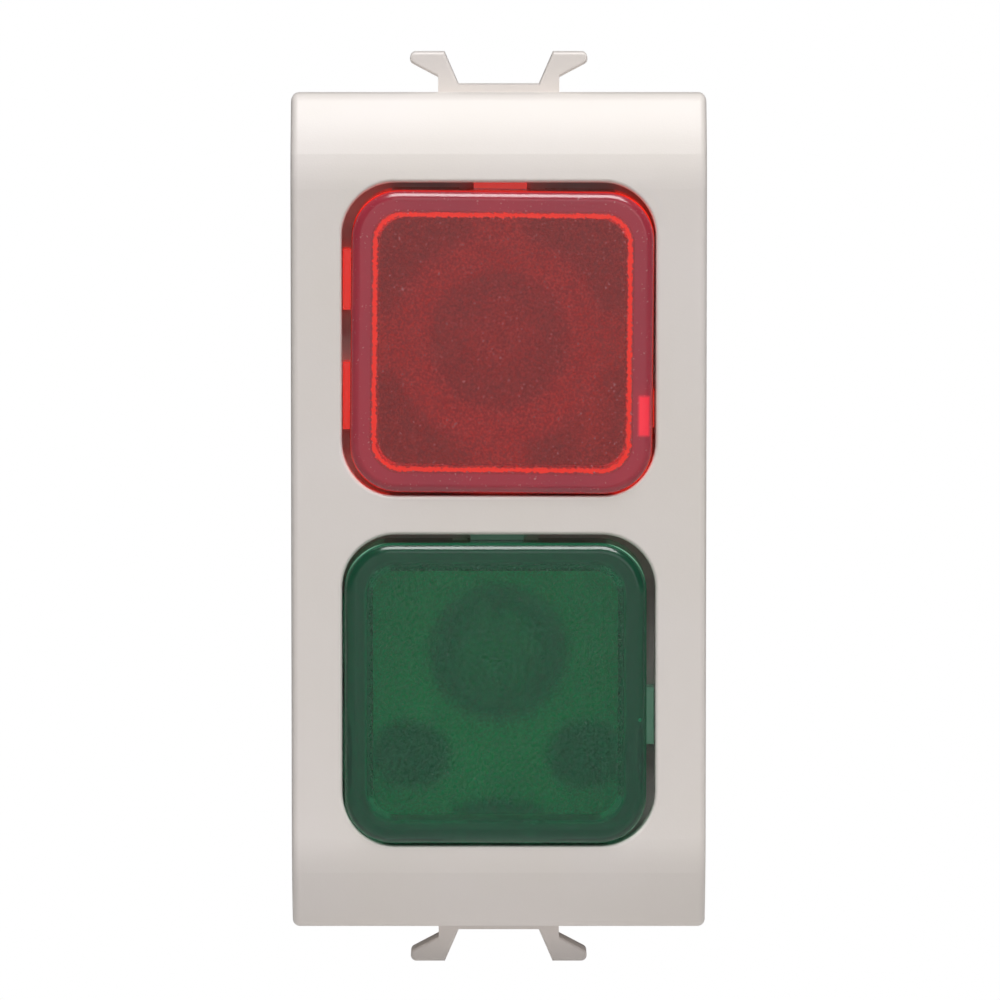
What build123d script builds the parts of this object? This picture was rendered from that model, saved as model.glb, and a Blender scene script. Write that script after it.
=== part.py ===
from build123d import *
from math import asin, cos, radians, sin
import os

# Double indicator lamp for a wall frame: a one-module insert with a red lens over a green lens.
# Millimetres. +X to the right, +Z up, the lenses face -Y. The origin is the middle of the plane
# on which the cover's rim and the snap wings meet the wall frame.

# front cover
cover_width = 22.4
cover_height = 45.3
cover_depth = 4.0  # rim to the flat of the front
roll_height = 4.3  # how far each rolled end reaches down the front
roll_start = 12.0  # degrees, slope where the rolled end leaves the flat
roll_end = 38.0  # degrees, slope at the top and bottom edge
crease_radius = 6.0
cover_wall = 1.4
cover_side_wall = 1.3
cover_side_radius = 0.4
cover_end_radius = 0.9  # the top and bottom edges are softer than the sides
window_size = 16.9
window_radius = 2.9
window_pitch = 19.0
window_edge_radius = 0.2

# lenses: a cap with a thick face, which drops into its window with some play
lens_gap = 0.29  # on each side, when the lens stands in the middle of its window
lens_proud = 0.3
lens_depth = 3.4
lens_face = 1.2
lens_wall = 1.2
lens_edge_radius = 0.5
lens_hollow_radius = 1.6
lens_hollow_chamfer = 0.35
red_play = (0.18, -0.15)  # how far the lens has settled right and up
green_play = (-0.18, -0.17)
red_turn = 0.5  # degrees, clockwise from the front
green_turn = 0.0
tab_gap = 0.04  # between a tab's end and the window's edge
tab_thick = 1.4
tab_set_back = 1.7  # from the flat of the front to the tabs
left_tabs = ((3.3, 3.15), (3.65, -3.15))  # each one's length and its height above the lens's middle
red_right_tab = (2.05, -3.85)
green_right_tab = (3.1, -1.55)
end_tab_length = 3.05
tab_notch = 0.8

# clip frame with its snap wings
clip_plate = 2.0
clip_inset = 0.3  # the plate's edge inside the cover's edge
clip_lip = 1.2  # how far the lip reaches into the cover
clip_fit = 0.1
clip_opening_gap = 0.35  # around a window
ledge_gap = 0.1  # behind a lens
ledge_reach = 0.65  # from a window's edge inwards, behind the lens
wing_root = 0.5  # how far a wing runs into the plate
wing_web_rise = 0.4  # above the cover's edge
wing_neck_rise = 0.8
wing_tip_rise = 1.6
wing_rise = 2.15
wing_neck_outer = 3.28
wing_neck_inner = 2.18
wing_tip_inner = 2.94
wing_tip_outer = 4.8
wing_tip_radius = 0.3
wing_edge_radius = 0.15
latch_width = 3.0
latch_thick = 0.9
latch_reach = 6.0
latch_offset = 7.2
latch_catch = 0.45
latch_gap = 0.1
latch_hook = 1.0  # along the depth

# rear housing
housing_inset_side = 0.3  # inside the cover's width
housing_height = 41.0
housing_depth = 31.0
housing_wall = 1.3
housing_corner_radius = 1.0
housing_rear_chamfer = 0.8
panel_inset = 3.0  # the shallow panel in each side
panel_depth = 0.3
panel_radius = 1.0
pocket_depth = 12.5  # from the partition to the cap
partition = 1.2
cap_thick = 1.8
cap_gap = 0.1

# terminals, each a rising clamp on a screw
terminal_offset = 5.2  # the two lower terminals, either side of the middle
terminal_setback = 9.2  # from the cap's outer face to the screw's axis
tongue_height = 12.0  # from the middle of the device to the contact's tongue
tongue_width = 3.3
tongue_overhang = 0.6  # past the clamp
slit_gap = 0.1  # round a tongue where it passes the partition
strip_thick = 0.8
strip_width = 1.7
clamp_width = 5.4
clamp_length = 5.6
clamp_wall = 0.9
clamp_top = 1.6
clamp_edge_radius = 0.4
clamp_travel = 2.5
clamp_head_gap = 0.6  # under the screw's head when the clamp is right up
clamp_floor_gap = 0.4  # under the clamp when it is right down
wire_space = 3.0  # under the tongue when the clamp is open
wire_hole = 2.9
wire_lead_in = 0.4
clamp_gap = 0.15
screw_diameter = 3.0
screw_head = 5.0
screw_head_height = 2.0
screw_sink = 0.6  # head below the housing's face
screw_slot = 0.8
screw_slot_depth = 1.1
screw_chamfer = 0.25
thread_gap = 0.05
screw_tip_gap = 0.05  # above the tongue
head_gap = 0.08
head_clearance = 0.2  # from the head's underside to the pocket

# plug-in lamps
lamp_pitch = 17.3
dome_length = 3.2
dome_nose_radius = 1.9
dome_wall = 0.6
dome_step = 0.1
lamp_diameter = 7.6
base_length = 3.5
base_wall = 0.6
base_floor = 1.0
base_chamfer = 0.3
board_gap = 0.05
board_thick = 0.8
board_ledge = 0.5
chip_width = 2.2
chip_height = 0.9
chip_lens_height = 0.35
chip_lens_diameter = 1.8
chip_lens_radius = 0.28
resistor_size = (1.6, 0.8, 0.45)
resistor_end = 0.35  # length of each metal end
resistor_end_rise = 0.04  # of the metal above the body
resistor_offset = 2.1
pin_diameter = 1.0
pin_pitch = 3.6
pin_length = 3.0  # out of the base
pin_gap = 0.05
pin_tip_gap = 0.2  # from a pin's tip to the contact's strip
pin_tip_chamfer = 0.3
socket_wall = 0.55
socket_length = 2.8

# lamp carrier, the white moulding behind the lenses
carrier_set_back = 0.5  # plate behind the dome's tip
carrier_plate = 1.2
carrier_gap = 0.1
collar_gap = 0.1
collar_wall = 0.9
collar_length = 5.0
ring_radius = 5.8
arm_width = 3.0
well_size = 14.6
well_radius = 2.0
eye_width = 4.6
eye_height = 4.0
eye_offset = 4.9
eye_drop = 5.7  # below the green lamp's axis
drain_width = 5.4
drain_height = 1.7
drain_drop = 8.9  # below the green lamp's axis
barrier_thick = 1.0
post_diameter = 2.4
post_offset = 7.6
post_height = 17.0

overcut = 0.5  # how far a cut runs past the faces that it opens
hair = 0.01  # tolerance for picking edges by their place

# worked out from the sizes above
lens_size = window_size - 2 * lens_gap
lens_radius = window_radius - lens_gap
window_half = window_size / 2
flat_half = cover_height / 2 - roll_height
roll_radius = roll_height / (sin(radians(roll_end)) - sin(radians(roll_start)))
front_y = -cover_depth
lens_front_y = front_y - lens_proud
ledge_y = lens_front_y + lens_depth + ledge_gap
clip_rear_y = clip_plate
housing_width = cover_width - 2 * housing_inset_side
housing_rear_y = clip_rear_y + housing_depth
cap_front_y = housing_rear_y - cap_thick
pocket_y = cap_front_y - pocket_depth
partition_y = pocket_y - partition
chamber_depth = partition_y - clip_rear_y
screw_y = housing_rear_y - terminal_setback
head_top = housing_height / 2 - screw_sink
head_bottom = head_top - screw_head_height
tongue_top = tongue_height + strip_thick / 2
tongue_bottom = tongue_height - strip_thick / 2
clamp_floor_top = tongue_bottom - wire_space
clamp_bottom = clamp_floor_top - clamp_wall
clamp_roof_top = head_bottom - clamp_head_gap - clamp_travel
clamp_height = clamp_roof_top - clamp_bottom
pocket_bottom = clamp_bottom - clamp_floor_gap
pocket_top = head_bottom - head_clearance
wire_height = clamp_floor_top + wire_space / 2
strip_front_y = partition_y - strip_thick
pin_end_y = strip_front_y - pin_tip_gap
base_rear_y = pin_end_y - pin_length
base_front_y = base_rear_y - base_length
lamp_front = base_front_y - dome_length
socket_front_y = strip_front_y - socket_length
carrier_front_y = lamp_front + carrier_set_back
carrier_rear_y = carrier_front_y + carrier_plate
board_y = base_rear_y - base_floor - board_ledge - board_thick  # the board's front face
lamp_heights = {"red": lamp_pitch / 2, "green": -lamp_pitch / 2}
pin_x = pin_pitch / 2

os.makedirs("parts", exist_ok=True)


def facing_front(y, x=0.0, z=0.0, turn=0.0):
    """A plane at depth y that faces the viewer, turned clockwise by turn degrees."""
    across = (cos(radians(turn)), 0, -sin(radians(turn)))
    return Plane(origin=(x, y, z), x_dir=across, z_dir=(0, -1, 0))


def save(piece, name):
    """Label the finished piece and write its file."""
    piece.label = name
    export_step(piece, f"parts/{name}.step")


def cover_outline(inset):
    """The cover's side profile, in Y and Z, drawn inset from the skin, and its crease's height."""
    edge = cover_height / 2 - (cover_side_wall if inset else 0)
    radius = roll_radius - inset
    centre_y = front_y + roll_radius * cos(radians(roll_start))
    centre_z = flat_half - roll_radius * sin(radians(roll_start))
    first = radians(roll_start)
    last = asin((edge - centre_z) / radius)

    def on_roll(angle, side):
        return (centre_y - radius * cos(angle), side * (centre_z + radius * sin(angle)))

    middle = (first + last) / 2
    with BuildLine() as line:
        Line((0, edge), on_roll(last, 1))
        ThreePointArc(on_roll(last, 1), on_roll(middle, 1), on_roll(first, 1))
        Line(on_roll(first, 1), on_roll(first, -1))
        ThreePointArc(on_roll(first, -1), on_roll(middle, -1), on_roll(last, -1))
        Line(on_roll(last, -1), (0, -edge))
        Line((0, -edge), (0, edge))
    return line.line, on_roll(first, 1)[1]


def lies_at_side(edge):
    """Whether an edge bounds the cover's left or right side, in front of the rim."""
    middle = edge.center()
    return abs(middle.X) > cover_width / 2 - hair and middle.Y < -hair


# front cover: an extruded shell with rolled ends and two windows
with BuildPart() as front_cover:
    outer_line, crease = cover_outline(0)
    with BuildSketch(Plane.YZ) as outer_profile:
        add(outer_line)
        make_face()
        creases = outer_profile.vertices().filter_by(lambda v: abs(abs(v.Y) - crease) < hair)
        fillet(creases, crease_radius)
        ends = outer_profile.vertices().filter_by(lambda v: abs(v.Y) > cover_height / 2 - hair)
        fillet(ends.filter_by(lambda v: v.X < -hair), cover_end_radius)
    extrude(amount=cover_width / 2, both=True)
    sides = front_cover.edges().filter_by(lies_at_side)
    fillet(sides, cover_side_radius)
    with BuildSketch(Plane.YZ):
        add(cover_outline(cover_wall)[0])
        make_face()
    extrude(amount=cover_width / 2 - cover_side_wall, both=True, mode=Mode.SUBTRACT)
    with BuildSketch(facing_front(0)):
        with GridLocations(0, window_pitch, 1, 2):
            RectangleRounded(window_size, window_size, window_radius)
    extrude(amount=cover_depth + overcut, mode=Mode.SUBTRACT)
    mouths = front_cover.edges(Select.LAST).filter_by(lambda e: e.center().Y < front_y + cover_wall / 2)
    fillet(mouths, window_edge_radius)
save(front_cover.part, "front_cover")


def make_lens(centre_z, play, turn, right_tab):
    """A lens cap for the window at centre_z, settled by play and turned clockwise by turn."""
    side_tabs = [(-1, *tab) for tab in left_tabs] + [(1, *right_tab)]
    seat = facing_front(lens_front_y, play[0], centre_z + play[1], turn)
    with BuildPart() as lens:
        with BuildSketch(seat):
            RectangleRounded(lens_size, lens_size, lens_radius)
        extrude(amount=-lens_depth)
        fillet(lens.faces().sort_by(Axis.Y)[0].edges(), lens_edge_radius)
        # tabs reach out to the window's edge and are square to it
        tab_y = front_y + tab_set_back + tab_thick
        reach = window_half - tab_gap
        with BuildSketch(facing_front(tab_y, 0, centre_z)):
            for side, length, offset in side_tabs:
                with Locations((side * reach / 2, offset)):
                    Rectangle(reach, length)
            for end in (-1, 1):
                with Locations((0, end * reach / 2)):
                    Rectangle(end_tab_length, reach)
        extrude(amount=tab_thick)
        # a slit on each side of the top and bottom tabs lets them spring
        slit_y = lens_front_y + lens_depth
        with BuildSketch(facing_front(slit_y, play[0], centre_z + play[1])):
            for side in (-1, 1):
                for end in (-1, 1):
                    with Locations((side * (end_tab_length + tab_notch) / 2, end * lens_size / 2)):
                        Rectangle(tab_notch, 2 * (lens_wall + overcut))
        extrude(amount=slit_y - (front_y + tab_set_back), mode=Mode.SUBTRACT)
        # the hollow behind the face
        hollow = lens_size - 2 * lens_wall
        with BuildSketch(seat.offset(-lens_face)):
            RectangleRounded(hollow, hollow, lens_hollow_radius)
        extrude(amount=-(lens_depth - lens_face), mode=Mode.SUBTRACT)
        hollow_floor = lens.faces().filter_by(Axis.Y).sort_by(Axis.Y)
        hollow_floor = hollow_floor.filter_by(lambda f: abs(f.center().Y - lens_front_y - lens_face) < hair)
        chamfer(hollow_floor.edges(), lens_hollow_chamfer)
    return lens.part


save(make_lens(window_pitch / 2, red_play, red_turn, red_right_tab), "red_lens")
save(make_lens(-window_pitch / 2, green_play, green_turn, green_right_tab), "green_lens")


# clip frame: a plate behind the cover, with a lip inside it, snap wings and latches
with BuildPart() as clip_frame:
    with BuildSketch(facing_front(clip_rear_y)):
        Rectangle(cover_width - 2 * clip_inset, cover_height - 2 * clip_inset)
    extrude(amount=clip_plate)
    lip_inset = cover_side_wall + clip_fit
    with BuildSketch(facing_front(0)):
        Rectangle(cover_width - 2 * lip_inset, cover_height - 2 * lip_inset)
    extrude(amount=clip_lip)
    # each opening steps in to a ledge behind its lens
    opening = window_size + 2 * clip_opening_gap
    with BuildSketch(facing_front(-clip_lip - overcut)):
        with GridLocations(0, window_pitch, 1, 2):
            RectangleRounded(opening, opening, window_radius)
    extrude(amount=-(ledge_y + clip_lip + overcut), mode=Mode.SUBTRACT)
    light_way = window_size - 2 * ledge_reach
    with BuildSketch(facing_front(clip_rear_y)):
        with GridLocations(0, window_pitch, 1, 2):
            RectangleRounded(light_way, light_way, window_radius - ledge_reach)
    extrude(amount=clip_plate + clip_lip, mode=Mode.SUBTRACT)
    # a wing is a straight neck that opens into a slanted arm with a round tip
    edge = cover_height / 2
    root = edge - clip_inset - wing_root
    with BuildSketch(facing_front(clip_rear_y)) as wings:
        with BuildLine():
            Polyline(
                (0, root),
                (wing_neck_outer, root),
                (wing_neck_outer, edge + wing_neck_rise),
                (wing_tip_outer, edge + wing_tip_rise),
                (wing_tip_outer, edge + wing_rise),
                (wing_tip_inner, edge + wing_rise),
                (wing_neck_inner, edge + wing_web_rise),
                (0, edge + wing_web_rise),
                close=True,
            )
        make_face()
        tips = wings.vertices().filter_by(lambda v: v.X > wing_tip_outer - hair)
        fillet(tips, wing_tip_radius)
        mirror(about=Plane.YZ)
        mirror(about=Plane.XZ)
    extrude(amount=clip_plate)
    arms = clip_frame.edges(Select.LAST).filter_by(lambda e: abs(e.center().Z) > edge + wing_web_rise)
    fillet(arms.filter_by(Axis.Y, reverse=True), wing_edge_radius)
    # latches hook into the housing's ends
    latch_z = housing_height / 2 + latch_gap + latch_thick / 2
    with BuildSketch(facing_front(clip_rear_y)):
        with GridLocations(2 * latch_offset, 2 * latch_z, 2, 2):
            Rectangle(latch_width, latch_thick)
    extrude(amount=-latch_reach)
    with BuildSketch(facing_front(clip_rear_y + latch_reach)):
        with GridLocations(2 * latch_offset, 2 * latch_z - latch_thick - latch_catch, 2, 2):
            Rectangle(latch_width, latch_catch)
    extrude(amount=latch_hook)
save(clip_frame.part, "clip_frame")


def terminal_sites():
    """The three terminals: name, x, and the side, up or down, that its screw faces."""
    return (("common", 0.0, 1), ("red", terminal_offset, -1), ("green", -terminal_offset, -1))


# rear housing: a chamber for the lamps in front, a pocket for each terminal behind
with BuildPart() as rear_housing:
    with BuildSketch(facing_front(housing_rear_y)):
        RectangleRounded(housing_width, housing_height, housing_corner_radius)
    extrude(amount=housing_depth)
    chamfer(rear_housing.faces().sort_by(Axis.Y)[-1].edges(), housing_rear_chamfer)
    chamber = (housing_width - 2 * housing_wall, housing_height - 2 * housing_wall)
    with BuildSketch(facing_front(clip_rear_y)):
        Rectangle(*chamber)
    extrude(amount=-chamber_depth, mode=Mode.SUBTRACT)
    with BuildSketch(facing_front(housing_rear_y)):
        Rectangle(*chamber)
    extrude(amount=cap_thick, mode=Mode.SUBTRACT)
    pocket_width = clamp_width + 2 * clamp_gap
    pocket_height = pocket_top - pocket_bottom
    with BuildSketch(facing_front(cap_front_y)):
        for _, x, side in terminal_sites():
            with Locations((x, side * (pocket_bottom + pocket_height / 2))):
                Rectangle(pocket_width, pocket_height)
    extrude(amount=cap_front_y - pocket_y, mode=Mode.SUBTRACT)
    # spare spaces that keep the walls even
    spare_width = chamber[0]
    spare_height = 2 * (pocket_bottom - housing_wall)
    with BuildSketch(facing_front(cap_front_y)):
        Rectangle(spare_width, spare_height)
        side_width = chamber[0] / 2 - pocket_width / 2 - housing_wall
        for side in (-1, 1):
            with Locations((side * (chamber[0] - side_width) / 2, pocket_bottom + pocket_height / 2)):
                Rectangle(side_width, pocket_height)
    extrude(amount=cap_front_y - pocket_y, mode=Mode.SUBTRACT)
    # a bore for each screw head, and a slit in the partition for each contact
    for _, x, side in terminal_sites():
        with BuildSketch(Plane(origin=(x, screw_y, side * housing_height / 2), z_dir=(0, 0, side))):
            Circle(screw_head / 2 + head_gap)
        extrude(amount=-(housing_height / 2 - pocket_top + overcut), mode=Mode.SUBTRACT)
        with BuildSketch(facing_front(pocket_y + overcut, x, side * tongue_height)):
            Rectangle(tongue_width + 2 * slit_gap, strip_thick + 2 * slit_gap)
        extrude(amount=partition + 2 * overcut, mode=Mode.SUBTRACT)
    # notches for the clip frame's latches
    with BuildSketch(facing_front(clip_rear_y + latch_reach + latch_gap)):
        with GridLocations(2 * latch_offset, housing_height, 2, 2):
            Rectangle(latch_width + 2 * latch_gap, 2 * latch_catch)
    extrude(amount=latch_hook + 2 * latch_gap, mode=Mode.SUBTRACT)
    # a shallow panel in each side
    panel = (housing_depth - 2 * panel_inset, housing_height - 2 * panel_inset)
    for side in (-1, 1):
        with BuildSketch(Plane.YZ.offset(side * housing_width / 2)):
            with Locations((clip_rear_y + housing_depth / 2, 0)):
                RectangleRounded(*panel, panel_radius)
        extrude(amount=-side * panel_depth, mode=Mode.SUBTRACT)
save(rear_housing.part, "rear_housing")


# rear cap: closes the terminal pockets and holds the wire holes
with BuildPart() as rear_cap:
    with BuildSketch(facing_front(housing_rear_y)):
        Rectangle(chamber[0] - 2 * cap_gap, chamber[1] - 2 * cap_gap)
    extrude(amount=cap_thick)
    with BuildSketch(facing_front(housing_rear_y)):
        for _, x, side in terminal_sites():
            with Locations((x, side * wire_height)):
                Circle(wire_hole / 2)
    extrude(amount=cap_thick, mode=Mode.SUBTRACT)
    rear_rims = rear_cap.edges().filter_by(GeomType.CIRCLE).group_by(Axis.Y)[-1]
    chamfer(rear_rims, wire_lead_in)
save(rear_cap.part, "rear_cap")


# lamp carrier: a white plate with a ring round each lamp, collars behind it and a light barrier
with BuildPart() as lamp_carrier:
    with BuildSketch(facing_front(carrier_rear_y)):
        Rectangle(chamber[0] - 2 * carrier_gap, chamber[1] - 2 * carrier_gap)
    extrude(amount=carrier_plate)
    # four wells leave a ring and a cross round the red lamp
    with BuildSketch(facing_front(carrier_rear_y, 0, lamp_heights["red"])):
        RectangleRounded(well_size, well_size, well_radius)
        Circle(ring_radius, mode=Mode.SUBTRACT)
        Rectangle(well_size, arm_width, mode=Mode.SUBTRACT)
        Rectangle(arm_width, well_size, mode=Mode.SUBTRACT)
    extrude(amount=carrier_plate, mode=Mode.SUBTRACT)
    # two eyes and a drain slot below the green lamp
    with BuildSketch(facing_front(carrier_rear_y, 0, lamp_heights["green"])):
        with Locations((eye_offset, -eye_drop), (-eye_offset, -eye_drop)):
            Ellipse(eye_width / 2, eye_height / 2)
        with Locations((0, -drain_drop)):
            Ellipse(drain_width / 2, drain_height / 2)
    extrude(amount=carrier_plate, mode=Mode.SUBTRACT)
    for height in lamp_heights.values():
        bore = lamp_diameter / 2 + collar_gap
        with BuildSketch(facing_front(carrier_front_y, 0, height)):
            Circle(bore + collar_wall)
        extrude(amount=-collar_length)
        with BuildSketch(facing_front(carrier_front_y, 0, height)):
            Circle(bore)
        extrude(amount=-collar_length, mode=Mode.SUBTRACT)
    with BuildSketch(facing_front(carrier_front_y)):
        Rectangle(chamber[0] - 2 * carrier_gap, barrier_thick)
    extrude(amount=carrier_front_y - clip_rear_y - carrier_gap)
    with BuildSketch(facing_front(carrier_rear_y)):
        with GridLocations(2 * post_offset, 2 * post_height, 2, 2):
            Circle(post_diameter / 2)
    extrude(amount=-(partition_y - carrier_rear_y))
save(lamp_carrier.part, "lamp_carrier")


def make_strip(x, side, route, pins):
    """A contact: a tongue in the terminal, a strip along the route and a socket for each pin."""
    with BuildPart() as strip:
        tongue_end = screw_y + clamp_length / 2 + tongue_overhang
        with BuildSketch(facing_front(tongue_end, x, side * tongue_height)):
            Rectangle(tongue_width, strip_thick)
        extrude(amount=tongue_end - strip_front_y)
        with BuildSketch(facing_front(partition_y)):
            for start, end in zip(route, route[1:]):
                middle = ((start[0] + end[0]) / 2, (start[1] + end[1]) / 2)
                run = (abs(end[0] - start[0]) + strip_width, abs(end[1] - start[1]) + strip_width)
                with Locations(middle):
                    Rectangle(*run)
        extrude(amount=strip_thick)
        bore = pin_diameter / 2 + pin_gap
        with BuildSketch(facing_front(strip_front_y)):
            with Locations(*pins):
                Circle(bore + socket_wall)
                Circle(bore, mode=Mode.SUBTRACT)
        extrude(amount=socket_length)
    return strip.part


red_z = lamp_heights["red"]
green_z = lamp_heights["green"]
common_route = [(0, tongue_height), (-pin_x, tongue_height), (-pin_x, green_z)]
red_route = [(terminal_offset, -tongue_height), (terminal_offset, red_z), (pin_x, red_z)]
green_route = [(-terminal_offset, -tongue_height), (pin_x, -tongue_height), (pin_x, green_z)]
save(make_strip(0, 1, common_route, [(-pin_x, red_z), (-pin_x, green_z)]), "common_contact")
save(make_strip(terminal_offset, -1, red_route, [(pin_x, red_z)]), "red_contact")
save(make_strip(-terminal_offset, -1, green_route, [(pin_x, green_z)]), "green_contact")


def make_clamp(x, side):
    """A rising clamp: a square sleeve round the tongue, tapped for the screw."""
    with BuildPart() as clamp:
        start_y = screw_y + clamp_length / 2
        middle = side * (clamp_bottom + clamp_height / 2)
        with BuildSketch(facing_front(start_y, x, middle)):
            Rectangle(clamp_width, clamp_height)
        extrude(amount=clamp_length)
        fillet(clamp.edges().filter_by(Axis.Y), clamp_edge_radius)
        space = clamp_height - clamp_wall - clamp_top
        with BuildSketch(facing_front(start_y, x, side * (clamp_floor_top + space / 2))):
            Rectangle(clamp_width - 2 * clamp_wall, space)
        extrude(amount=clamp_length, mode=Mode.SUBTRACT)
        with BuildSketch(Plane(origin=(x, screw_y, side * clamp_roof_top), z_dir=(0, 0, side))):
            Circle(screw_diameter / 2 + thread_gap)
        extrude(amount=-clamp_top - overcut, mode=Mode.SUBTRACT)
    return clamp.part


def make_screw(x, side):
    """A slotted terminal screw whose tip stands on the tongue."""
    with BuildPart() as screw:
        tip = tongue_top + screw_tip_gap
        with BuildSketch(Plane(origin=(x, screw_y, side * tip), z_dir=(0, 0, side))):
            Circle(screw_diameter / 2)
        extrude(amount=head_bottom - tip)
        with BuildSketch(Plane(origin=(x, screw_y, side * head_bottom), z_dir=(0, 0, side))):
            Circle(screw_head / 2)
        extrude(amount=screw_head_height)
        rims = screw.edges().filter_by(GeomType.CIRCLE).group_by(Axis.Z)[-1 if side > 0 else 0]
        chamfer(rims, screw_chamfer)
        with BuildSketch(Plane(origin=(x, screw_y, side * head_top), z_dir=(0, 0, side))):
            Rectangle(screw_head + 2 * overcut, screw_slot)
        extrude(amount=-screw_slot_depth, mode=Mode.SUBTRACT)
    return screw.part


for name, x, side in terminal_sites():
    save(make_clamp(x, side), f"{name}_clamp")
    save(make_screw(x, side), f"{name}_screw")


def disc(y, z, radius):
    """A round face on a lamp's axis at depth y."""
    with BuildSketch(facing_front(y, 0, z)) as face:
        Circle(radius)
    return face.sketch


def pin_places():
    """Where a lamp's two pins stand, across its axis."""
    return ((-pin_x, 0), (pin_x, 0))


def make_dome(z):
    """A clear cap with a rounded nose, open towards the base."""
    radius = lamp_diameter / 2 - dome_step
    with BuildPart() as dome:
        extrude(disc(lamp_front, z, radius), amount=-dome_length)
        fillet(dome.edges().filter_by(GeomType.CIRCLE).group_by(Axis.Y)[0], dome_nose_radius)
        hollow_length = dome_length - dome_wall
        extrude(disc(base_front_y, z, radius - dome_wall), amount=hollow_length, mode=Mode.SUBTRACT)
        hollow_rims = dome.edges(Select.LAST).filter_by(GeomType.CIRCLE)
        fillet(hollow_rims.group_by(Axis.Y)[0], dome_nose_radius - dome_wall)
    return dome.part


def make_base(z):
    """The lamp's cup, with a ledge for the board and two holes for the pins."""
    radius = lamp_diameter / 2
    with BuildPart() as base:
        extrude(disc(base_front_y, z, radius), amount=-base_length)
        ledge_y = board_y + board_thick
        cup = radius - base_wall
        extrude(disc(base_front_y, z, cup), amount=base_front_y - ledge_y, mode=Mode.SUBTRACT)
        extrude(disc(ledge_y, z, cup - board_ledge), amount=-board_ledge, mode=Mode.SUBTRACT)
        with BuildSketch(facing_front(base_rear_y, 0, z)):
            with Locations(*pin_places()):
                Circle(pin_diameter / 2)
        extrude(amount=base_floor, mode=Mode.SUBTRACT)
        rear_rims = base.edges().filter_by(GeomType.CIRCLE).group_by(Axis.Y)[-1]
        chamfer(rear_rims.sort_by(SortBy.RADIUS)[-1], base_chamfer)
    return base.part


def make_board(z):
    """The round board, drilled for the pins."""
    with BuildPart() as board:
        board_radius = lamp_diameter / 2 - base_wall - board_gap
        extrude(disc(board_y, z, board_radius), amount=-board_thick)
        with BuildSketch(facing_front(board_y, 0, z)):
            with Locations(*pin_places()):
                Circle(pin_diameter / 2)
        extrude(amount=-board_thick, mode=Mode.SUBTRACT)
    return board.part


def make_chip(z):
    """The light chip: a square package with a shallow round lens on it."""
    with BuildPart() as chip:
        with BuildSketch(facing_front(board_y, 0, z)):
            Rectangle(chip_width, chip_width)
        extrude(amount=chip_height - chip_lens_height)
        package = chip_height - chip_lens_height
        extrude(disc(board_y - package, z, chip_lens_diameter / 2), amount=chip_lens_height)
        fillet(chip.edges().filter_by(GeomType.CIRCLE).group_by(Axis.Y)[0], chip_lens_radius)
    return chip.part


def make_resistor(z):
    """The chip resistor above the light chip, with its two metal ends."""
    length, width, height = resistor_size
    with BuildPart() as resistor:
        with BuildSketch(facing_front(board_y, 0, z + resistor_offset)):
            Rectangle(length, width)
        extrude(amount=height)
        with BuildSketch(facing_front(board_y, 0, z + resistor_offset)):
            with GridLocations(length - resistor_end + 2 * resistor_end_rise, 0, 2, 1):
                Rectangle(resistor_end, width + 2 * resistor_end_rise)
        extrude(amount=height + resistor_end_rise)
    return resistor.part


def make_pins(z):
    """Two pins with pointed tips, from the board's face to the sockets."""
    with BuildPart() as pins:
        with BuildSketch(facing_front(board_y, 0, z)):
            with Locations(*pin_places()):
                Circle(pin_diameter / 2)
        extrude(amount=-(pin_end_y - board_y))
        chamfer(pins.edges().filter_by(lambda e: e.center().Y > pin_end_y - hair), pin_tip_chamfer)
    return pins.part


makers = {
    "lamp_dome": make_dome,
    "lamp_base": make_base,
    "lamp_board": make_board,
    "light_chip": make_chip,
    "lamp_resistor": make_resistor,
    "lamp_pins": make_pins,
}
for name, z in lamp_heights.items():
    for kind, maker in makers.items():
        save(maker(z), f"{name}_{kind}")
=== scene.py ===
import math

import bpy
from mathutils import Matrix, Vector


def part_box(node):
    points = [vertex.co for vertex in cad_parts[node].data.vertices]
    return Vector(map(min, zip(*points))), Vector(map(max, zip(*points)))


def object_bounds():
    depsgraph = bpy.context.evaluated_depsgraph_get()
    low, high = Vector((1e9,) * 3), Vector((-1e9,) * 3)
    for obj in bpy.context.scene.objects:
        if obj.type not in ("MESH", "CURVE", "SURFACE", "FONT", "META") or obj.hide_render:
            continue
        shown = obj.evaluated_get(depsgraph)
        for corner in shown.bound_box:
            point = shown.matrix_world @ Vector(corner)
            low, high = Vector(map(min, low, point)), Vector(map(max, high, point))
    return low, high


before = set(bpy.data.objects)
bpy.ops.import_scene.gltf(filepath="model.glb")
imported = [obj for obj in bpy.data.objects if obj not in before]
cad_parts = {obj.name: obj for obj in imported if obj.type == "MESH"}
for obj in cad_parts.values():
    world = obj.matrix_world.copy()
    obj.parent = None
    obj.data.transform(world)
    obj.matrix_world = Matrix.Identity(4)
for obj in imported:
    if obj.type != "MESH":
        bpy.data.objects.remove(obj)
cadLow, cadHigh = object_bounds()
mm = 0.001


def linearColour(code):
    # sRGB hex to the linear numbers that the shader takes
    parts = [int(code[i:i + 2], 16) / 255 for i in (1, 3, 5)]
    return tuple(c / 12.92 if c <= 0.04045 else ((c + 0.055) / 1.055) ** 2.4 for c in parts) + (1.0,)


def perMetre(size):
    # texture scale that makes one feature this many millimetres wide
    return 1000 / size


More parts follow.
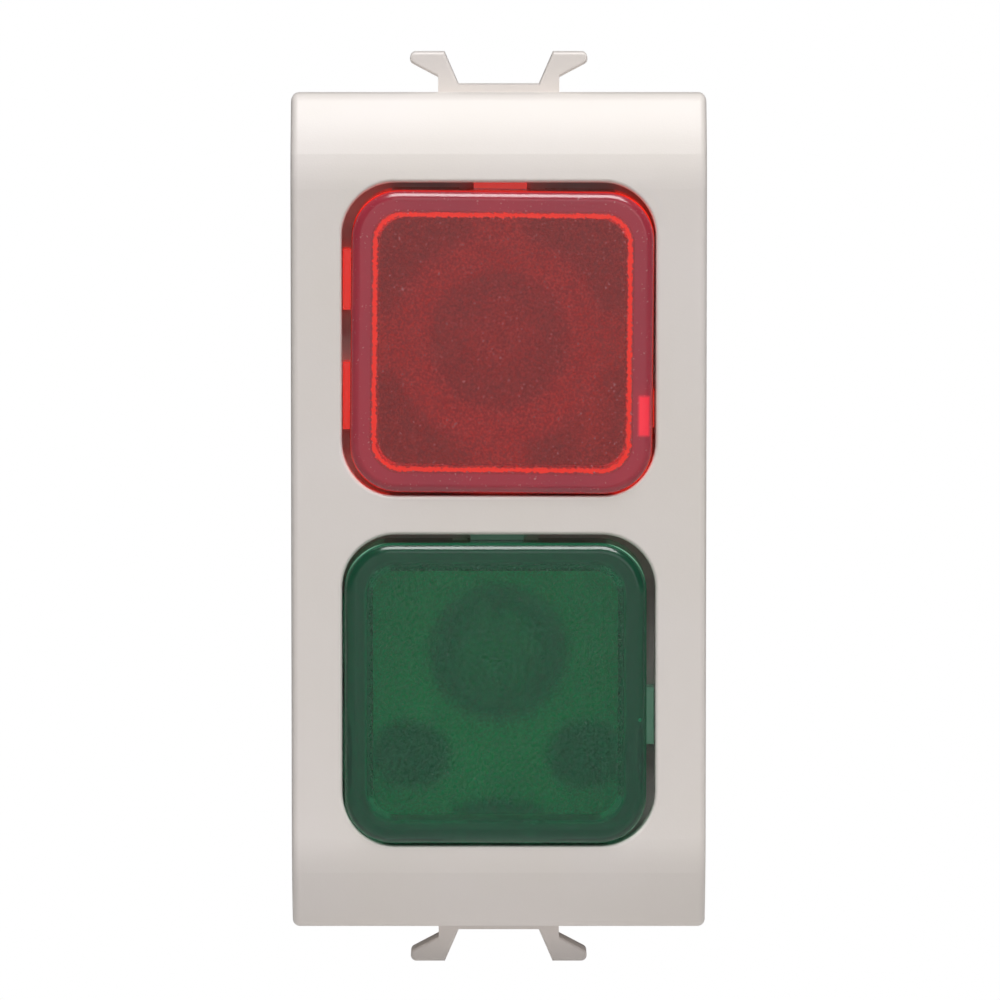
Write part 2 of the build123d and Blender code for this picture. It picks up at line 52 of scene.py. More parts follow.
def addNode(tree, kind, feeds, output=0, **settings):
    # one node with its settings; a feed is a fixed value or the socket that drives it; gives back one output
    # a Mix node's feeds are 0 for the share, then 6 and 7 for colours (output 2), or 2 and 3 for numbers
    node = tree.nodes.new(kind)
    for name, value in settings.items():
        setattr(node, name, value)
    for slot, feed in feeds.items():
        if isinstance(feed, bpy.types.NodeSocket):
            tree.links.new(feed, node.inputs[slot])
        else:
            node.inputs[slot].default_value = feed
    return node.outputs[output] if node.outputs else node


def newMaterial(name):
    # an empty tree, and the part's own coordinates in metres
    material = bpy.data.materials.new(name)
    material.use_nodes = True
    tree = material.node_tree
    tree.nodes.clear()
    return material, tree, addNode(tree, "ShaderNodeTexCoord", {}, "Object")


def paint(nodeNames, material):
    for name in nodeNames:
        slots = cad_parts[name].data.materials
        slots.clear()
        slots.append(material)


# camera: a long lens, a little above the middle of the cover
# view: the width that it takes in at the cover's front
cameraPlace = {"elevation": 5.1, "distance": 470 * mm, "view": 53.9 * mm, "right": 0.07 * mm,
               "up": 0.834 * mm, "nearest": 10 * mm}


def makeCamera():
    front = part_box("front_cover")[0].y
    data = bpy.data.cameras.new("camera")
    data.lens = data.sensor_width * cameraPlace["distance"] / cameraPlace["view"]
    data.clip_start = cameraPlace["nearest"]
    camera = bpy.data.objects.new("camera", data)
    bpy.context.scene.collection.objects.link(camera)
    tilt = math.radians(cameraPlace["elevation"])
    target = Vector((cameraPlace["right"], front, cameraPlace["up"]))
    camera.location = target + cameraPlace["distance"] * Vector((0, -math.cos(tilt), math.sin(tilt)))
    camera.rotation_euler = (math.pi / 2 - tilt, 0, 0)
    bpy.context.scene.camera = camera


makeCamera()
print("camera ready")

# studio: a white sweep, a soft box high in front and a weak fill
# the sweep looks lit but throws little light back, apart from a small pad of white card under the part
# sizes and places in metres, powers in watts
studio = {"floorWidth": 3.0, "floorFront": 1.5, "floorBack": 1.2, "sweepRadius": 0.5, "sweepHeight": 1.6,
          "sweepSteps": 24, "floorColour": "#ffffff", "floorBounce": "#b2b0ae",
          "padInner": 0.02, "padOuter": 0.055, "padGlow": 0.32,
          "topPower": 4.8, "topSize": 0.45, "topPlace": (0.06, -0.33, 0.6),
          "fillPower": 0.7, "fillSize": 0.5, "fillPlace": (0.1, -0.9, 0.1),
          "airColour": "#ffffff", "air": 0.12}


def paperSweep():
    material, tree, place = newMaterial("paper sweep")
    seen = addNode(tree, "ShaderNodeEmission", {"Color": linearColour(studio["floorColour"])})
    bounce = addNode(tree, "ShaderNodeBsdfDiffuse", {"Color": linearColour(studio["floorBounce"])})
    reach = addNode(tree, "ShaderNodeVectorMath", {0: place}, "Value", operation="LENGTH")
    glow = addNode(tree, "ShaderNodeMapRange",
                   {"Value": reach, "From Min": studio["padInner"], "From Max": studio["padOuter"],
                    "To Min": studio["padGlow"], "To Max": 0.0}, interpolation_type="SMOOTHSTEP")
    pad = addNode(tree, "ShaderNodeEmission", {"Strength": glow})
    thrown = addNode(tree, "ShaderNodeAddShader", {0: bounce, 1: pad})
    direct = addNode(tree, "ShaderNodeLightPath", {}, "Is Camera Ray")
    either = addNode(tree, "ShaderNodeMixShader", {0: direct, 1: thrown, 2: seen})
    addNode(tree, "ShaderNodeOutputMaterial", {"Surface": either})
    return material


def makeSweep():
    # the floor curves up into the backdrop: one strip of quads with a smooth bend
    low = cadLow[2]
    profile = [(-studio["floorFront"], low)]
    for step in range(studio["sweepSteps"] + 1):
        angle = math.pi / 2 * step / studio["sweepSteps"]
        profile.append((studio["floorBack"] - studio["sweepRadius"] * (1 - math.sin(angle)),
                        low + studio["sweepRadius"] * (1 - math.cos(angle))))
    profile.append((studio["floorBack"], low + studio["sweepHeight"]))
    half = studio["floorWidth"] / 2
    points = [(x, y, z) for y, z in profile for x in (-half, half)]
    faces = [(2 * i, 2 * i + 1, 2 * i + 3, 2 * i + 2) for i in range(len(profile) - 1)]
    mesh = bpy.data.meshes.new("studio_sweep")
    mesh.from_pydata(points, [], faces)
    mesh.shade_smooth()
    mesh.materials.append(paperSweep())
    sweep = bpy.data.objects.new("studio_sweep", mesh)
    bpy.context.scene.collection.objects.link(sweep)


def makeLight(name, place, size, power):
    data = bpy.data.lights.new(name, "AREA")
    data.shape = "SQUARE"
    data.size = size
    data.energy = power
    light = bpy.data.objects.new(name, data)
    light.location = place
    light.rotation_euler = (-Vector(place)).to_track_quat("-Z", "Y").to_euler()
    bpy.context.scene.collection.objects.link(light)


def makeStudio():
    makeSweep()
    makeLight("top soft box", studio["topPlace"], studio["topSize"], studio["topPower"])
    makeLight("front fill", studio["fillPlace"], studio["fillSize"], studio["fillPower"])
    world = bpy.data.worlds.new("studio air")
    world.use_nodes = True
    air = world.node_tree.nodes["Background"].inputs
    air["Color"].default_value = linearColour(studio["airColour"])
    air["Strength"].default_value = studio["air"]
    bpy.context.scene.world = world
    bpy.context.scene.view_settings.view_transform = "Standard"


makeStudio()
print("studio ready")

# cover and clip frame: ABS, injection moulded in a finely eroded tool, so satin with a faint orange peel
# the slow mottle is the melt cooling unevenly, and is barely seen
# relief is how strongly a pattern's depth shows, here and below
whiteAbs = {"colour": "#e8e1dd", "shade": "#e6dfd9", "mottle": 9.0, "mottleFrom": 0.35, "mottleTo": 0.65,
            "grain": 0.09, "depth": 0.012 * mm, "relief": 0.35,
            "roughness": 0.42, "spread": 0.06, "ior": 1.54}


def mouldedAbs():
    material, tree, place = newMaterial("moulded white ABS")
    mottle = addNode(tree, "ShaderNodeTexNoise",
                     {"Vector": place, "Scale": perMetre(whiteAbs["mottle"]), "Detail": 3.0})
    mottle = addNode(tree, "ShaderNodeMapRange", {"Value": mottle, "From Min": whiteAbs["mottleFrom"],
                                                  "From Max": whiteAbs["mottleTo"]})
    colour = addNode(tree, "ShaderNodeMix", {0: mottle, 6: linearColour(whiteAbs["colour"]),
                                             7: linearColour(whiteAbs["shade"])}, 2, data_type="RGBA")
    grain = addNode(tree, "ShaderNodeTexNoise",
                    {"Vector": place, "Scale": perMetre(whiteAbs["grain"]), "Detail": 4.0})
    bump = addNode(tree, "ShaderNodeBump", {"Height": grain, "Strength": whiteAbs["relief"],
                                            "Distance": whiteAbs["depth"]})
    roughness = addNode(tree, "ShaderNodeMapRange",
                        {"Value": grain, "To Min": whiteAbs["roughness"] - whiteAbs["spread"],
                         "To Max": whiteAbs["roughness"] + whiteAbs["spread"]})
    shader = addNode(tree, "ShaderNodeBsdfPrincipled",
                     {"Base Color": colour, "Roughness": roughness, "IOR": whiteAbs["ior"], "Normal": bump})
    addNode(tree, "ShaderNodeOutputMaterial", {"Surface": shader})
    return material


paint(["front_cover", "clip_frame"], mouldedAbs())

# rear housing and cap: glass-filled nylon, moulded, so dark and matt with pale fibre flecks along the flow
# the fibres are finer than this, and are drawn coarser so that they show
darkNylon = {"colour": "#3b3733", "fleck": "#57514b", "fleckFrom": 0.52, "fleckTo": 0.75,
             "fibre": 0.25, "stretch": 0.2, "depth": 0.02 * mm, "relief": 0.5,
             "roughness": 0.6, "spread": 0.1, "ior": 1.53}


def mouldedNylon():
    material, tree, place = newMaterial("glass-filled nylon")
    flow = addNode(tree, "ShaderNodeMapping", {"Vector": place, "Scale": (1, darkNylon["stretch"], 1)})
    fibre = addNode(tree, "ShaderNodeTexNoise",
                    {"Vector": flow, "Scale": perMetre(darkNylon["fibre"]), "Detail": 5.0})
    fleck = addNode(tree, "ShaderNodeMapRange", {"Value": fibre, "From Min": darkNylon["fleckFrom"],
                                                 "From Max": darkNylon["fleckTo"]})
    colour = addNode(tree, "ShaderNodeMix", {0: fleck, 6: linearColour(darkNylon["colour"]),
                                             7: linearColour(darkNylon["fleck"])}, 2, data_type="RGBA")
    bump = addNode(tree, "ShaderNodeBump", {"Height": fibre, "Strength": darkNylon["relief"],
                                            "Distance": darkNylon["depth"]})
    roughness = addNode(tree, "ShaderNodeMapRange",
                        {"Value": fibre, "To Min": darkNylon["roughness"] + darkNylon["spread"],
                         "To Max": darkNylon["roughness"] - darkNylon["spread"]})
    shader = addNode(tree, "ShaderNodeBsdfPrincipled",
                     {"Base Color": colour, "Roughness": roughness, "IOR": darkNylon["ior"], "Normal": bump})
    addNode(tree, "ShaderNodeOutputMaterial", {"Surface": shader})
    return material


paint(["rear_housing", "rear_cap"], mouldedNylon())

# lamp carrier: white polycarbonate, moulded and matt, a little yellowed by the lamps' warmth
whiteCarrier = {"colour": "#ece8e0", "aged": "#ded7c6", "mottle": 5.0,
                "grain": 0.12, "depth": 0.01 * mm, "relief": 0.3, "roughness": 0.55, "ior": 1.585}


def mouldedCarrier():
    material, tree, place = newMaterial("moulded white polycarbonate")
    mottle = addNode(tree, "ShaderNodeTexNoise",
                     {"Vector": place, "Scale": perMetre(whiteCarrier["mottle"]), "Detail": 2.0})
    colour = addNode(tree, "ShaderNodeMix", {0: mottle, 6: linearColour(whiteCarrier["colour"]),
                                             7: linearColour(whiteCarrier["aged"])}, 2, data_type="RGBA")
    grain = addNode(tree, "ShaderNodeTexNoise",
                    {"Vector": place, "Scale": perMetre(whiteCarrier["grain"]), "Detail": 3.0})
    bump = addNode(tree, "ShaderNodeBump", {"Height": grain, "Strength": whiteCarrier["relief"],
                                            "Distance": whiteCarrier["depth"]})
    shader = addNode(tree, "ShaderNodeBsdfPrincipled",
                     {"Base Color": colour, "Roughness": whiteCarrier["roughness"],
                      "IOR": whiteCarrier["ior"], "Normal": bump})
    addNode(tree, "ShaderNodeOutputMaterial", {"Surface": shader})
    return material


paint(["lamp_carrier"], mouldedCarrier())
print("mouldings ready")

# lenses: dyed polycarbonate with a spark-eroded face, so the light behind is blurred and the face sparkles
# the red has a fluorescent dye, and the light that it carries to the edges is painted: its hollow's rim
# line, tabs and catch are painted bright and given a painted glow
# the grain is drawn a little coarse, so that it shows
# each Clear is the share of light that passes, and each Glow is a painted glow that stands in for what the
# dye gives back
lensShared = {"wall": 1.2 * mm, "hollowRadius": 1.6 * mm, "tabGap": 0.04 * mm, "playGap": 0.29 * mm,
              "grain": 0.15, "depth": 0.003 * mm, "coatDepth": 0.012 * mm, "relief": 0.8,
              "roughness": 0.18, "coatRoughness": 0.16, "ior": 1.585,
              "lineInset": 0.1 * mm, "ragged": 0.3 * mm, "lineCore": 0.4, "lineFade": 0.65,
              "rimInside": 0.1 * mm, "rimOutside": 0.2 * mm, "tabStart": 0.03 * mm, "hookFade": 0.16 * mm,
              "edgeFrom": 0.65, "edgeTo": 0.4, "sideFrom": 0.35, "sideTo": 0.1,
              "paintedShadeFrom": 0.6, "paintedShadeTo": 0.4, "paintedGlintAbove": 0.7,
              "paintedShadeLoss": 0.08, "paintedGlintClear": 0.6, "hookClear": 0.2, "edgeClear": 0.2, "sideClear": 0.1,
              "tabClear": 0.1}
# painted light here: the grain's hollow and peak colours are painted shade and glints, the rim colour is the
# wall's own tint lightened by painted sheen, the edge colour is a painted glow line on the red and painted
# shade on the green, and the line, tab and root colours and each glow are painted light carried by the dye
redLens = {"name": "dyed red polycarbonate", "node": "red_lens",
           "settled": (0.18 * mm, -0.15 * mm), "turn": 0.5, "coat": 0.35,
           "face": "#ff4c4e", "paintedShade": "#d8363e", "paintedGlint": "#ff9aa0", "faceClear": 0.95, "faceGlow": 0.05,
           "rim": "#d4445a", "rimClear": 0.52, "edge": "#e02a20", "edgeGlow": 0.03,
           "line": "#ff2a1c", "lineWidth": 0.23 * mm, "lineClear": 0.0,
           "tab": "#ff2a16", "tabGlow": 0.3,
           "root": "#ff3450", "hook": (7.68 * mm, -3.9 * mm), "hookHalf": (0.22 * mm, 1.0 * mm),
           "hookGlow": 0.2}
greenLens = {"name": "dyed green polycarbonate", "node": "green_lens",
             "settled": (-0.18 * mm, -0.17 * mm), "turn": 0.0, "coat": 0.1,
             "face": "#06eca4", "paintedShade": "#05c48a", "paintedGlint": "#5aa888", "faceClear": 0.985, "faceGlow": 0.0,
             "rim": "#2c9470", "rimClear": 0.86, "edge": "#1c6a48", "edgeGlow": 0.0,
             "line": "#0ab884", "lineWidth": 0.1 * mm, "lineClear": 0.9,
             "tab": "#8abca2", "tabGlow": 0.05,
             "root": "#1a8a58", "hook": (7.8 * mm, -1.4 * mm), "hookHalf": (0.0, 0.0),
             "hookGlow": 0.0}


def dyedLens(lens):
    material, tree, place = newMaterial(lens["name"])
    low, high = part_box(lens["node"])
    half = (high.x - low.x) / 2 + lensShared["tabGap"] - lensShared["playGap"]
    centre = ((low.x + high.x) / 2 + lens["settled"][0], 0, (low.z + high.z) / 2 + lens["settled"][1])
    local = addNode(tree, "ShaderNodeMapping",
                    {"Vector": place, "Location": centre, "Rotation": (0, math.radians(lens["turn"]), 0)},
                    vector_type="TEXTURE")
    # reach: how far a point lies outside the flat middle square, rounded at its corners like the hollow
    flat = half - lensShared["wall"] - lensShared["hollowRadius"]
    outside = addNode(tree, "ShaderNodeVectorMath", {0: local}, operation="ABSOLUTE")
    outside = addNode(tree, "ShaderNodeVectorMath", {0: outside, 1: (flat, 1, flat)}, operation="SUBTRACT")
    outside = addNode(tree, "ShaderNodeVectorMath", {0: outside, 1: (0, 0, 0)}, operation="MAXIMUM")
    reach = addNode(tree, "ShaderNodeVectorMath", {0: outside}, "Value", operation="LENGTH")
    grain = addNode(tree, "ShaderNodeTexNoise",
                    {"Vector": place, "Scale": perMetre(lensShared["grain"]), "Detail": 2.0})
    bump = addNode(tree, "ShaderNodeBump", {"Height": grain, "Strength": lensShared["relief"],
                                            "Distance": lensShared["depth"]})
    coatBump = addNode(tree, "ShaderNodeBump", {"Height": grain, "Strength": lensShared["relief"],
                                                "Distance": lensShared["coatDepth"]})
    # the line on the hollow's rim is painted light, bright on the red and faint on the green, and ragged by
    # the grain, about its middle
    lineReach = lensShared["hollowRadius"] - lensShared["lineInset"] + lensShared["ragged"] / 2
    fromLine = addNode(tree, "ShaderNodeMath", {0: grain, 1: lensShared["ragged"], 2: reach},
                       operation="MULTIPLY_ADD")
    fromLine = addNode(tree, "ShaderNodeMath", {0: fromLine, 1: lineReach}, operation="SUBTRACT")
    fromLine = addNode(tree, "ShaderNodeMath", {0: fromLine}, operation="ABSOLUTE")
    onLine = addNode(tree, "ShaderNodeMapRange",
                     {"Value": fromLine, "From Min": lens["lineWidth"] * lensShared["lineFade"],
                      "From Max": lens["lineWidth"] * lensShared["lineCore"]},
                     interpolation_type="SMOOTHSTEP")
    # the rim colour is the wall's own tint, lightened by painted sheen
    onRim = addNode(tree, "ShaderNodeMapRange",
                    {"Value": reach, "From Min": lensShared["hollowRadius"] - lensShared["rimInside"],
                     "From Max": lensShared["hollowRadius"] + lensShared["rimOutside"]},
                    interpolation_type="SMOOTHSTEP")
    # the tabs are painted bright, with a painted glow, for the light that the dye carries into them
    tabReach = lensShared["hollowRadius"] + lensShared["wall"] + lensShared["tabStart"]
    onTab = addNode(tree, "ShaderNodeMath", {0: reach, 1: tabReach}, operation="GREATER_THAN")
    # a painted glow where the root of the catch lights up through the rim
    hook = addNode(tree, "ShaderNodeVectorMath", {0: local, 1: (lens["hook"][0], 0, lens["hook"][1])},
                   operation="SUBTRACT")
    hook = addNode(tree, "ShaderNodeVectorMath", {0: hook}, operation="ABSOLUTE")
    hook = addNode(tree, "ShaderNodeVectorMath", {0: hook, 1: (lens["hookHalf"][0], 1, lens["hookHalf"][1])},
                   operation="SUBTRACT")
    hook = addNode(tree, "ShaderNodeVectorMath", {0: hook, 1: (0, 0, 0)}, operation="MAXIMUM")
    hook = addNode(tree, "ShaderNodeVectorMath", {0: hook}, "Value", operation="LENGTH")
    onHook = addNode(tree, "ShaderNodeMapRange",
                     {"Value": hook, "From Min": lensShared["hookFade"], "From Max": 0.0})
    # the outer corner, where the skin has turned away from the front, and the side beyond it; both take the
    # edge colour, a painted glow line on the red and painted shade on the green
    facing = addNode(tree, "ShaderNodeNewGeometry", {}, "True Normal")
    facing = addNode(tree, "ShaderNodeVectorMath", {0: facing, 1: (0, 1, 0)}, "Value",
                     operation="DOT_PRODUCT")
    facing = addNode(tree, "ShaderNodeMath", {0: facing}, operation="ABSOLUTE")
    onEdge = addNode(tree, "ShaderNodeMapRange",
                     {"Value": facing, "From Min": lensShared["edgeFrom"], "From Max": lensShared["edgeTo"]},
                     interpolation_type="SMOOTHSTEP")
    onSide = addNode(tree, "ShaderNodeMapRange",
                     {"Value": facing, "From Min": lensShared["sideFrom"], "From Max": lensShared["sideTo"]},
                     interpolation_type="SMOOTHSTEP")
    # painted shade in the grain's hollows, and painted glints on a few of its peaks
    onPaintedShade = addNode(tree, "ShaderNodeMapRange",
                    {"Value": grain, "From Min": lensShared["paintedShadeFrom"], "From Max": lensShared["paintedShadeTo"]})
    onPaintedGlint = addNode(tree, "ShaderNodeMath", {0: grain, 1: lensShared["paintedGlintAbove"]},
                        operation="GREATER_THAN")
    # each zone lies over the ones before it
    zones = ((onPaintedShade, "paintedShade", lens["faceClear"] - lensShared["paintedShadeLoss"], lens["faceGlow"] / 2),
             (onRim, "rim", lens["rimClear"], 0.0),
             (onPaintedGlint, "paintedGlint", lensShared["paintedGlintClear"], 0.0),
             (onLine, "line", lens["lineClear"], 0.0),
             (onHook, "root", lensShared["hookClear"], lens["hookGlow"]),
             (onEdge, "edge", lensShared["edgeClear"], lens["edgeGlow"]),
             (onSide, "edge", lensShared["sideClear"], 0.0),
             (onTab, "tab", lensShared["tabClear"], lens["tabGlow"]))
    colour, clear, glow = linearColour(lens["face"]), lens["faceClear"], lens["faceGlow"]
    for mask, tint, seeThrough, shine in zones:
        colour = addNode(tree, "ShaderNodeMix", {0: mask, 6: colour, 7: linearColour(lens[tint])}, 2,
                         data_type="RGBA")
        clear = addNode(tree, "ShaderNodeMix", {0: mask, 2: clear, 3: seeThrough})
        glow = addNode(tree, "ShaderNodeMix", {0: mask, 2: glow, 3: shine})
    shader = addNode(tree, "ShaderNodeBsdfPrincipled",
                     {"Base Color": colour, "Roughness": lensShared["roughness"], "IOR": lensShared["ior"],
                      "Transmission Weight": clear, "Normal": bump, "Coat Weight": lens["coat"],
                      "Coat Roughness": lensShared["coatRoughness"], "Coat Normal": coatBump,
                      "Emission Color": linearColour(lens["line"]), "Emission Strength": glow})
    addNode(tree, "ShaderNodeOutputMaterial", {"Surface": shader})
    return material


for lens in (redLens, greenLens):
    paint([lens["node"]], dyedLens(lens))
print("lenses ready")

# contacts: brass strip, rolled and blanked, so it has fine straight rolling lines and a first brown tarnish
brassStrip = {"colour": "#d2b26a", "tarnish": "#9a7440", "patch": 2.5, "patchFrom": 0.5, "patchTo": 0.75,
              "line": 0.06, "stretch": 0.04, "depth": 0.004 * mm, "relief": 0.4,
              "smoothest": 0.2, "roughest": 0.4}


def rolledBrass():
    material, tree, place = newMaterial("rolled brass strip")
    along = addNode(tree, "ShaderNodeMapping", {"Vector": place, "Scale": (1, 1, brassStrip["stretch"])})
    lines = addNode(tree, "ShaderNodeTexNoise",
                    {"Vector": along, "Scale": perMetre(brassStrip["line"]), "Detail": 3.0})
    patch = addNode(tree, "ShaderNodeTexNoise",
                    {"Vector": place, "Scale": perMetre(brassStrip["patch"]), "Detail": 5.0})
    patch = addNode(tree, "ShaderNodeMapRange", {"Value": patch, "From Min": brassStrip["patchFrom"],
                                                 "From Max": brassStrip["patchTo"]})
    colour = addNode(tree, "ShaderNodeMix", {0: patch, 6: linearColour(brassStrip["colour"]),
                                             7: linearColour(brassStrip["tarnish"])}, 2, data_type="RGBA")
    roughness = addNode(tree, "ShaderNodeMapRange", {"Value": lines, "To Min": brassStrip["smoothest"],
                                                     "To Max": brassStrip["roughest"]})
    bump = addNode(tree, "ShaderNodeBump", {"Height": lines, "Strength": brassStrip["relief"],
                                            "Distance": brassStrip["depth"]})
    shader = addNode(tree, "ShaderNodeBsdfPrincipled",
                     {"Base Color": colour, "Metallic": 1.0, "Roughness": roughness, "Normal": bump})
    addNode(tree, "ShaderNodeOutputMaterial", {"Surface": shader})
    return material


terminals = ("common", "red", "green")
paint([f"{name}_contact" for name in terminals], rolledBrass())

# clamps and screws: steel, zinc plated and blue passivated, so bright with a faint blue and straw bloom
zincPlate = {"colour": "#b9bec4", "bloom": "#c6bd9c", "bloomSize": 1.4, "bloomFrom": 0.42, "bloomTo": 0.7,
             "crystal": 0.12, "depth": 0.005 * mm, "relief": 0.3, "roughness": 0.3, "spread": 0.08}


def platedSteel():
    material, tree, place = newMaterial("zinc plated steel")
    bloom = addNode(tree, "ShaderNodeTexNoise",
                    {"Vector": place, "Scale": perMetre(zincPlate["bloomSize"]), "Detail": 2.0})
    bloom = addNode(tree, "ShaderNodeMapRange", {"Value": bloom, "From Min": zincPlate["bloomFrom"],
                                                 "From Max": zincPlate["bloomTo"]})
    colour = addNode(tree, "ShaderNodeMix", {0: bloom, 6: linearColour(zincPlate["colour"]),
                                             7: linearColour(zincPlate["bloom"])}, 2, data_type="RGBA")
    crystal = addNode(tree, "ShaderNodeTexVoronoi",
                      {"Vector": place, "Scale": perMetre(zincPlate["crystal"])}, "Distance")
    roughness = addNode(tree, "ShaderNodeMapRange",
                        {"Value": crystal, "To Min": zincPlate["roughness"] - zincPlate["spread"],
                         "To Max": zincPlate["roughness"] + zincPlate["spread"]})
    bump = addNode(tree, "ShaderNodeBump", {"Height": crystal, "Strength": zincPlate["relief"],
                                            "Distance": zincPlate["depth"]})
    shader = addNode(tree, "ShaderNodeBsdfPrincipled",
                     {"Base Color": colour, "Metallic": 1.0, "Roughness": roughness, "Normal": bump})
    addNode(tree, "ShaderNodeOutputMaterial", {"Surface": shader})
    return material


paint([f"{name}_{piece}" for name in terminals for piece in ("clamp", "screw")], platedSteel())
print("terminals ready")

# lamp domes: acrylic with a smoke tint, moulded, so that an unlit lamp looks dark, with clearer flow marks
smokedDome = {"colour": "#8f9493", "flowMark": "#f4f6f5", "flow": 1.6, "depth": 0.01 * mm, "relief": 0.3,
              "roughness": 0.06, "clear": 0.95, "ior": 1.49}


def smokedAcrylic():
    material, tree, place = newMaterial("moulded smoked acrylic")
    flow = addNode(tree, "ShaderNodeTexNoise",
                   {"Vector": place, "Scale": perMetre(smokedDome["flow"]), "Detail": 1.0})
    colour = addNode(tree, "ShaderNodeMix", {0: flow, 6: linearColour(smokedDome["colour"]),
                                             7: linearColour(smokedDome["flowMark"])}, 2, data_type="RGBA")
    bump = addNode(tree, "ShaderNodeBump", {"Height": flow, "Strength": smokedDome["relief"],
                                            "Distance": smokedDome["depth"]})
    shader = addNode(tree, "ShaderNodeBsdfPrincipled",
                     {"Base Color": colour, "Roughness": smokedDome["roughness"], "IOR": smokedDome["ior"],
                      "Transmission Weight": smokedDome["clear"], "Normal": bump})
    addNode(tree, "ShaderNodeOutputMaterial", {"Surface": shader})
    return material


# lamp bases: polyester, moulded black, satin with a fine spark-eroded grain
blackBase = {"colour": "#1d1c1b", "worn": "#34312e", "grain": 0.15, "depth": 0.01 * mm, "relief": 0.4,
             "roughness": 0.45, "ior": 1.57}


def blackPolyester():
    material, tree, place = newMaterial("moulded black polyester")
    grain = addNode(tree, "ShaderNodeTexNoise",
                    {"Vector": place, "Scale": perMetre(blackBase["grain"]), "Detail": 4.0})
    colour = addNode(tree, "ShaderNodeMix", {0: grain, 6: linearColour(blackBase["colour"]),
                                             7: linearColour(blackBase["worn"])}, 2, data_type="RGBA")
    bump = addNode(tree, "ShaderNodeBump", {"Height": grain, "Strength": blackBase["relief"],
                                            "Distance": blackBase["depth"]})
    shader = addNode(tree, "ShaderNodeBsdfPrincipled",
                     {"Base Color": colour, "Roughness": blackBase["roughness"], "IOR": blackBase["ior"],
                      "Normal": bump})
    addNode(tree, "ShaderNodeOutputMaterial", {"Surface": shader})
    return material


# boards: glass-epoxy laminate under green solder mask, so the cloth's weave shows faintly
# the cloth's threads are too fine to show, and are drawn about six times as coarse
# one band of the wave texture is waveBand wide at a scale of 1
lampBoard = {"colour": "#1d6a3c", "knuckle": "#2a8450", "thread": 0.4, "coarser": 2 * math.pi,
             "waveBand": math.pi / 10, "waver": 0.4, "depth": 0.006 * mm, "relief": 0.4,
             "roughness": 0.3, "ior": 1.55}


def maskedBoard():
    material, tree, place = newMaterial("solder-masked laminate")
    scale = perMetre(lampBoard["thread"] * lampBoard["coarser"]) * lampBoard["waveBand"]
    weave = []
    for direction in ("X", "Z"):
        weave.append(addNode(tree, "ShaderNodeTexWave",
                             {"Vector": place, "Scale": scale, "Distortion": lampBoard["waver"]},
                             "Fac", bands_direction=direction))
    cloth = addNode(tree, "ShaderNodeMath", {0: weave[0], 1: weave[1]}, operation="MULTIPLY")
    colour = addNode(tree, "ShaderNodeMix", {0: cloth, 6: linearColour(lampBoard["colour"]),
                                             7: linearColour(lampBoard["knuckle"])}, 2, data_type="RGBA")
    bump = addNode(tree, "ShaderNodeBump", {"Height": cloth, "Strength": lampBoard["relief"],
                                            "Distance": lampBoard["depth"]})
    shader = addNode(tree, "ShaderNodeBsdfPrincipled",
                     {"Base Color": colour, "Roughness": lampBoard["roughness"], "IOR": lampBoard["ior"],
                      "Normal": bump})
    addNode(tree, "ShaderNodeOutputMaterial", {"Surface": shader})
    return material


# light chips: a white ceramic package, with a phosphor-yellow silicone lens in the middle
lightChip = {"package": "#e9e6dc", "gel": "#e3c350", "gelRadius": 0.93 * mm, "ragged": 0.03 * mm,
             "grain": 0.08, "roughness": 0.35, "gelRoughness": 0.12, "ior": 1.41}


def chipCeramic(node):
    material, tree, place = newMaterial(f"ceramic and silicone {node}")
    low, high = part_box(node)
    centre = ((low.x + high.x) / 2, 0, (low.z + high.z) / 2)
    away = addNode(tree, "ShaderNodeVectorMath", {0: place, 1: centre}, operation="SUBTRACT")
    away = addNode(tree, "ShaderNodeVectorMath", {0: away, 1: (1, 0, 1)}, operation="MULTIPLY")
    away = addNode(tree, "ShaderNodeVectorMath", {0: away}, "Value", operation="LENGTH")
    grain = addNode(tree, "ShaderNodeTexNoise",
                    {"Vector": place, "Scale": perMetre(lightChip["grain"]), "Detail": 2.0})
    edge = addNode(tree, "ShaderNodeMath", {0: grain, 1: lightChip["ragged"], 2: away},
                   operation="MULTIPLY_ADD")
    onGel = addNode(tree, "ShaderNodeMath", {0: edge, 1: lightChip["gelRadius"]}, operation="LESS_THAN")
    colour = addNode(tree, "ShaderNodeMix", {0: onGel, 6: linearColour(lightChip["package"]),
                                             7: linearColour(lightChip["gel"])}, 2, data_type="RGBA")
    roughness = addNode(tree, "ShaderNodeMapRange", {"Value": onGel, "To Min": lightChip["roughness"],
                                                     "To Max": lightChip["gelRoughness"]})
    shader = addNode(tree, "ShaderNodeBsdfPrincipled",
                     {"Base Color": colour, "Roughness": roughness, "IOR": lightChip["ior"]})
    addNode(tree, "ShaderNodeOutputMaterial", {"Surface": shader})
    return material


# resistors: a black glazed alumina chip between tinned ends
chipResistor = {"body": "#181a1c", "tin": "#cfd0cc", "bodyHalf": 0.49 * mm, "grain": 0.1,
                "depth": 0.004 * mm, "relief": 0.3, "smoothest": 0.2, "roughest": 0.45}


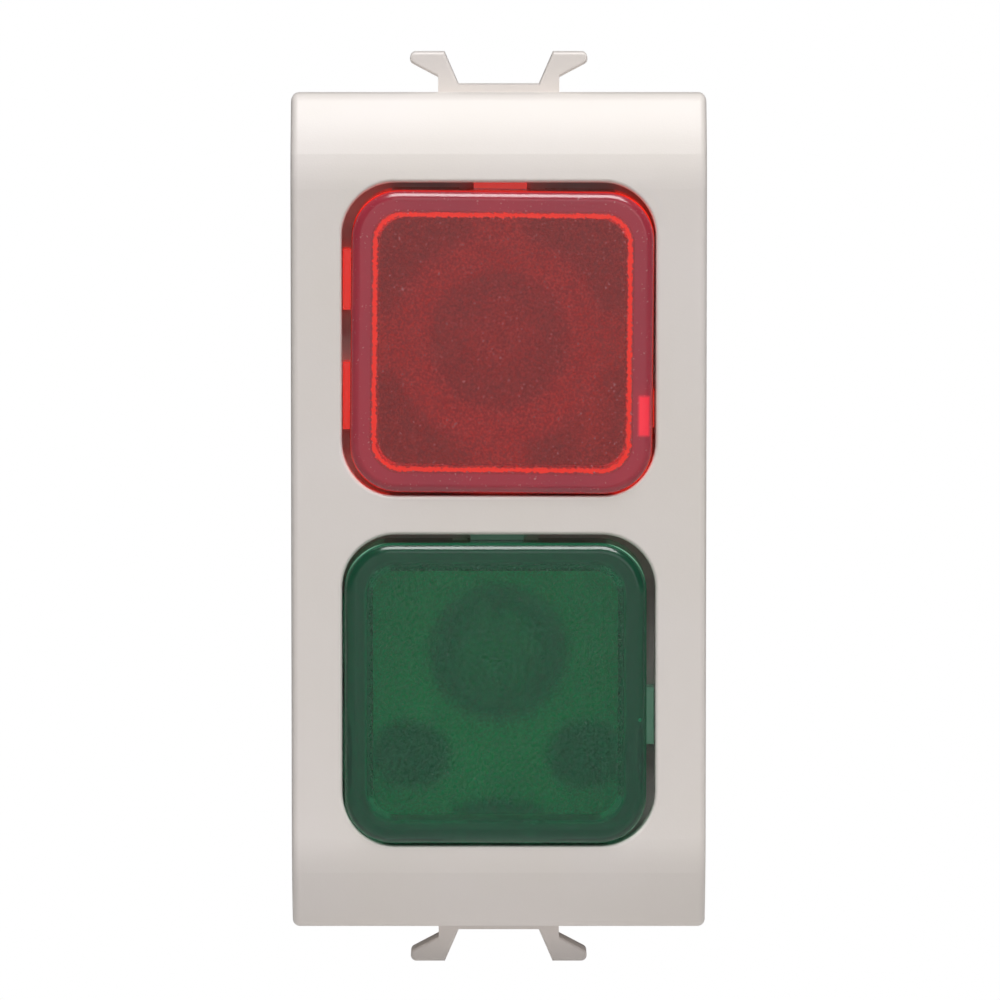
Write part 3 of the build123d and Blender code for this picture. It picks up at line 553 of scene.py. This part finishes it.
def glazedResistor():
    material, tree, place = newMaterial("glazed chip with tinned ends")
    grain = addNode(tree, "ShaderNodeTexNoise",
                    {"Vector": place, "Scale": perMetre(chipResistor["grain"]), "Detail": 3.0})
    across = addNode(tree, "ShaderNodeSeparateXYZ", {"Vector": place}, "X")
    across = addNode(tree, "ShaderNodeMath", {0: across}, operation="ABSOLUTE")
    onTin = addNode(tree, "ShaderNodeMath", {0: across, 1: chipResistor["bodyHalf"]},
                    operation="GREATER_THAN")
    colour = addNode(tree, "ShaderNodeMix", {0: onTin, 6: linearColour(chipResistor["body"]),
                                             7: linearColour(chipResistor["tin"])}, 2, data_type="RGBA")
    roughness = addNode(tree, "ShaderNodeMapRange", {"Value": grain, "To Min": chipResistor["smoothest"],
                                                     "To Max": chipResistor["roughest"]})
    bump = addNode(tree, "ShaderNodeBump", {"Height": grain, "Strength": chipResistor["relief"],
                                            "Distance": chipResistor["depth"]})
    shader = addNode(tree, "ShaderNodeBsdfPrincipled",
                     {"Base Color": colour, "Metallic": onTin, "Roughness": roughness, "Normal": bump})
    addNode(tree, "ShaderNodeOutputMaterial", {"Surface": shader})
    return material


# lamp pins: brass wire, drawn and tinned, with faint draw lines along the pin
tinnedPin = {"colour": "#cdc9bd", "drawLine": "#a9a597", "line": 0.05, "stretch": 0.03,
             "depth": 0.003 * mm, "relief": 0.3, "smoothest": 0.2, "roughest": 0.37}


def tinnedWire():
    material, tree, place = newMaterial("drawn and tinned wire")
    along = addNode(tree, "ShaderNodeMapping", {"Vector": place, "Scale": (1, tinnedPin["stretch"], 1)})
    lines = addNode(tree, "ShaderNodeTexNoise",
                    {"Vector": along, "Scale": perMetre(tinnedPin["line"]), "Detail": 2.0})
    colour = addNode(tree, "ShaderNodeMix", {0: lines, 6: linearColour(tinnedPin["colour"]),
                                             7: linearColour(tinnedPin["drawLine"])}, 2, data_type="RGBA")
    roughness = addNode(tree, "ShaderNodeMapRange", {"Value": lines, "To Min": tinnedPin["smoothest"],
                                                     "To Max": tinnedPin["roughest"]})
    bump = addNode(tree, "ShaderNodeBump", {"Height": lines, "Strength": tinnedPin["relief"],
                                            "Distance": tinnedPin["depth"]})
    shader = addNode(tree, "ShaderNodeBsdfPrincipled",
                     {"Base Color": colour, "Metallic": 1.0, "Roughness": roughness, "Normal": bump})
    addNode(tree, "ShaderNodeOutputMaterial", {"Surface": shader})
    return material


lampFinishes = {"lamp_dome": smokedAcrylic(), "lamp_base": blackPolyester(), "lamp_board": maskedBoard(),
                "lamp_resistor": glazedResistor(), "lamp_pins": tinnedWire()}
for colourName in ("red", "green"):
    for piece, finish in lampFinishes.items():
        paint([f"{colourName}_{piece}"], finish)
    paint([f"{colourName}_light_chip"], chipCeramic(f"{colourName}_light_chip"))
print("lamps ready")
